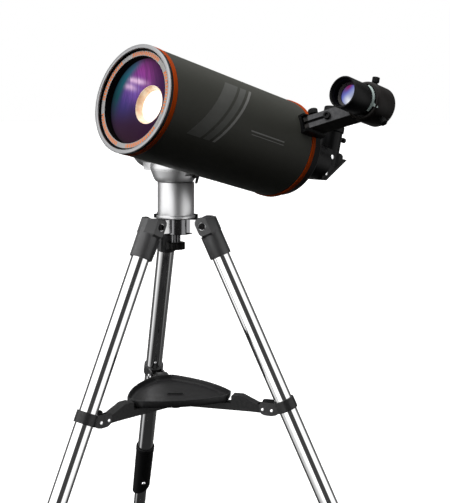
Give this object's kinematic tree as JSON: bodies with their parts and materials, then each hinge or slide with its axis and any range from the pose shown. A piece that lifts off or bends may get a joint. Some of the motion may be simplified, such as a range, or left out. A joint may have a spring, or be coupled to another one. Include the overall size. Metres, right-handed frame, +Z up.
{
  "type": "maksutov telescope",
  "caption": "Catadioptric telescope with finder and star diagonal on a single-arm altazimuth mount and a folding tripod with accessory tray.",
  "frame": {"origin": "on the floor, at the centre of the bounding box's underside", "axes": "+Z up, +Y toward the open end of the tube, +X toward the side of the mount arm"},
  "size_m": [0.619, 0.6189, 0.8786],
  "materials": {
    "black": "black",
    "chrome": "polished stainless tube",
    "glass": "coated optical glass",
    "graphite": "satin graphite",
    "mirror": "aluminised",
    "orange": "orange anodised",
    "painted_black": "black paint",
    "pale": "pale ring",
    "plastic": "dark grey moulded",
    "rubber": "moulded rubber",
    "silver": "satin silver"
  },
  "bodies": {
    "tripod_head": {"tripod_hub": "silver", "mount_column": "silver", "hinge_bolt_front": "chrome", "hinge_bolt_left": "chrome", "hinge_bolt_right": "chrome"},
    "bolt_knob": {"centre_bolt_knob": "black"},
    "spreader": {"brace_hub": "black", "accessory_tray": "painted_black"},
    "mount_head": {"mount_head_and_arm": "silver"},
    "azimuth_lever": {"azimuth_lock_lever": "black"},
    "saddle": {"altitude_saddle": "silver"},
    "saddle_clamp": {"saddle_knob": "black"},
    "tube_assembly": {"dovetail_bar": "painted_black", "optical_tube": "graphite", "front_cell": "silver", "front_accent_ring": "orange", "lens_retaining_ring": "silver", "corrector_lens": "glass", "rear_accent_ring": "orange", "rear_cell_and_baffle": "painted_black", "visual_back": "painted_black", "finder_shoe": "black", "finder_bracket": "painted_black", "finder_scope": "painted_black", "finder_objective_lens": "glass", "finder_o_ring": "pale"},
    "mirror": {"primary_mirror": "mirror"},
    "focuser": {"focus_knob": "black"},
    "diagonal": {"star_diagonal": "black", "diagonal_mirror_plate": "black"},
    "diagonal_screw": {"diagonal_thumbscrew": "black"},
    "eyepiece_body": {"eyepiece": "black"},
    "shoe_screw": {"finder_shoe_screw": "black"},
    "stalk_knob": {"bracket_knob": "black"},
    "finder_screw_a": {"finder_screw_upper": "black"},
    "finder_screw_b": {"finder_screw_lower": "black"},
    "leg_front": {"leg_bracket_front": "plastic", "upper_leg_tube_front": "chrome", "leg_clamp_front": "black", "brace_band_front": "black"},
    "lower_leg_front": {"lower_leg_tube_front": "chrome", "foot_front": "rubber"},
    "lock_screw_front": {"clamp_screw_front": "chrome"},
    "arm_front": {"brace_arm_front": "black"},
    "leg_left": {"leg_bracket_left": "plastic", "upper_leg_tube_left": "chrome", "leg_clamp_left": "black", "brace_band_left": "black"},
    "lower_leg_left": {"lower_leg_tube_left": "chrome", "foot_left": "rubber"},
    "lock_screw_left": {"clamp_screw_left": "chrome"},
    "arm_left": {"brace_arm_left": "black"},
    "leg_right": {"leg_bracket_right": "plastic", "upper_leg_tube_right": "chrome", "leg_clamp_right": "black", "brace_band_right": "black"},
    "lower_leg_right": {"lower_leg_tube_right": "chrome", "foot_right": "rubber"},
    "lock_screw_right": {"clamp_screw_right": "chrome"},
    "arm_right": {"brace_arm_right": "black"}
  },
  "joints": [
    {"name": "azimuth_turn", "type": "hinge", "parent": "tripod_head", "child": "mount_head", "pos_m": [0, -0.04617, 0.697], "axis": [0, 0, 1], "continuous": true},
    {"name": "altitude_tilt", "type": "hinge", "parent": "mount_head", "child": "saddle", "pos_m": [0, -0.04617, 0.7715], "axis": [1, 0, 0], "range_deg": [-19.2, 30]},
    {"name": "tube_balance_slide", "type": "slide", "parent": "saddle", "child": "tube_assembly", "axis": [0, 0.9695, 0.245], "range_m": [-0.015, 0.02]},
    {"name": "saddle_clamp_turn", "type": "hinge", "parent": "saddle", "child": "saddle_clamp", "pos_m": [-0.0136, -0.05499, 0.8064], "axis": [0, -0.245, 0.9695], "continuous": true},
    {"name": "azimuth_lever_swing", "type": "hinge", "parent": "mount_head", "child": "azimuth_lever", "pos_m": [-0.03195, -0.0578, 0.705], "axis": [-0.9397, -0.342, 0], "range_deg": [-30, 30]},
    {"name": "centre_bolt_turn", "type": "hinge", "parent": "tripod_head", "child": "bolt_knob", "pos_m": [0, -0.04617, 0.61], "axis": [0, 0, 1], "continuous": true},
    {"name": "leg_fold_front", "type": "hinge", "parent": "tripod_head", "child": "leg_front", "pos_m": [0, -0.00269, 0.63594], "axis": [-1, 0, 0], "range_deg": [0, 8]},
    {"name": "leg_length_front", "type": "slide", "parent": "leg_front", "child": "lower_leg_front", "axis": [0, 0.4208, -0.9072], "range_m": [-0.11, 0.25]},
    {"name": "lock_screw_turn_front", "type": "hinge", "parent": "leg_front", "child": "lock_screw_front", "pos_m": [0, 0.21841, 0.16638], "axis": [0, 0.9072, 0.4208], "continuous": true},
    {"name": "arm_fold_front", "type": "hinge", "parent": "leg_front", "child": "arm_front", "pos_m": [0, 0.08683, 0.378], "axis": [-1, 0, 0], "range_deg": [0, 39]},
    {"name": "leg_fold_left", "type": "hinge", "parent": "tripod_head", "child": "leg_left", "pos_m": [-0.03765, -0.06791, 0.63594], "axis": [0.5, -0.866, 0], "range_deg": [0, 8]},
    {"name": "leg_length_left", "type": "slide", "parent": "leg_left", "child": "lower_leg_left", "axis": [-0.3644, -0.2104, -0.9072], "range_m": [-0.11, 0.25]},
    {"name": "lock_screw_turn_left", "type": "hinge", "parent": "leg_left", "child": "lock_screw_left", "pos_m": [-0.22914, -0.17847, 0.16638], "axis": [-0.7856, -0.4536, 0.4208], "continuous": true},
    {"name": "arm_fold_left", "type": "hinge", "parent": "leg_left", "child": "arm_left", "pos_m": [-0.11518, -0.11267, 0.378], "axis": [0.5, -0.866, 0], "range_deg": [0, 39]},
    {"name": "leg_fold_right", "type": "hinge", "parent": "tripod_head", "child": "leg_right", "pos_m": [0.03765, -0.06791, 0.63594], "axis": [0.5, 0.866, 0], "range_deg": [0, 8]},
    {"name": "leg_length_right", "type": "slide", "parent": "leg_right", "child": "lower_leg_right", "axis": [0.3644, -0.2104, -0.9072], "range_m": [-0.11, 0.25]},
    {"name": "lock_screw_turn_right", "type": "hinge", "parent": "leg_right", "child": "lock_screw_right", "pos_m": [0.22914, -0.17847, 0.16638], "axis": [0.7856, -0.4536, 0.4208], "continuous": true},
    {"name": "arm_fold_right", "type": "hinge", "parent": "leg_right", "child": "arm_right", "pos_m": [0.11518, -0.11267, 0.378], "axis": [0.5, 0.866, 0], "range_deg": [0, 39]},
    {"name": "spreader_lift", "type": "slide", "parent": "tripod_head", "child": "spreader", "axis": [0, 0, 1], "range_m": [0, 0.078]},
    {"name": "focus_knob_turn", "type": "hinge", "parent": "tube_assembly", "child": "focuser", "pos_m": [-0.04954, -0.1768, 0.73334], "axis": [0, -0.9695, -0.245], "range_deg": [-1810, 1810]},
    {"name": "mirror_travel", "type": "slide", "parent": "tube_assembly", "child": "mirror", "axis": [0, 0.9695, 0.245], "range_m": [-0.005, 0.005]},
    {"name": "diagonal_turn", "type": "hinge", "parent": "tube_assembly", "child": "diagonal", "pos_m": [-0.09254, -0.19936, 0.73279], "axis": [0, -0.9695, -0.245], "continuous": true},
    {"name": "diagonal_screw_turn", "type": "hinge", "parent": "diagonal", "child": "diagonal_screw", "pos_m": [-0.09254, -0.29367, 0.75497], "axis": [0, -0.9695, -0.245], "continuous": true},
    {"name": "eyepiece_slide", "type": "slide", "parent": "diagonal", "child": "eyepiece_body", "axis": [0, -0.245, 0.9695], "range_m": [0, 0.025]},
    {"name": "shoe_screw_turn", "type": "hinge", "parent": "tube_assembly", "child": "shoe_screw", "pos_m": [-0.15544, -0.16018, 0.79002], "axis": [0.4226, -0.222, 0.8787], "continuous": true},
    {"name": "stalk_knob_turn", "type": "hinge", "parent": "tube_assembly", "child": "stalk_knob", "pos_m": [-0.18819, -0.14962, 0.79137], "axis": [-0.2888, 0.886, 0.3628], "continuous": true},
    {"name": "finder_screw_turn_a", "type": "hinge", "parent": "tube_assembly", "child": "finder_screw_a", "pos_m": [-0.23755, -0.18715, 0.83141], "axis": [0, -0.245, 0.9695], "continuous": true},
    {"name": "finder_screw_turn_b", "type": "hinge", "parent": "tube_assembly", "child": "finder_screw_b", "pos_m": [-0.25553, -0.17677, 0.79034], "axis": [-0.7193, 0.1702, -0.6735], "continuous": true}
  ],
  "couplings": [
    {"joint": "arm_fold_front", "follows": "leg_fold_front", "ratio": 4.8125},
    {"joint": "leg_fold_left", "follows": "leg_fold_front", "ratio": 1},
    {"joint": "arm_fold_left", "follows": "leg_fold_front", "ratio": 4.8125},
    {"joint": "leg_fold_right", "follows": "leg_fold_front", "ratio": 1},
    {"joint": "arm_fold_right", "follows": "leg_fold_front", "ratio": 4.8125},
    {"joint": "spreader_lift", "follows": "leg_fold_front", "m_per_rad": 0.54173},
    {"joint": "focus_knob_turn", "follows": "mirror_travel", "rad_per_m": 6283.2}
  ]
}
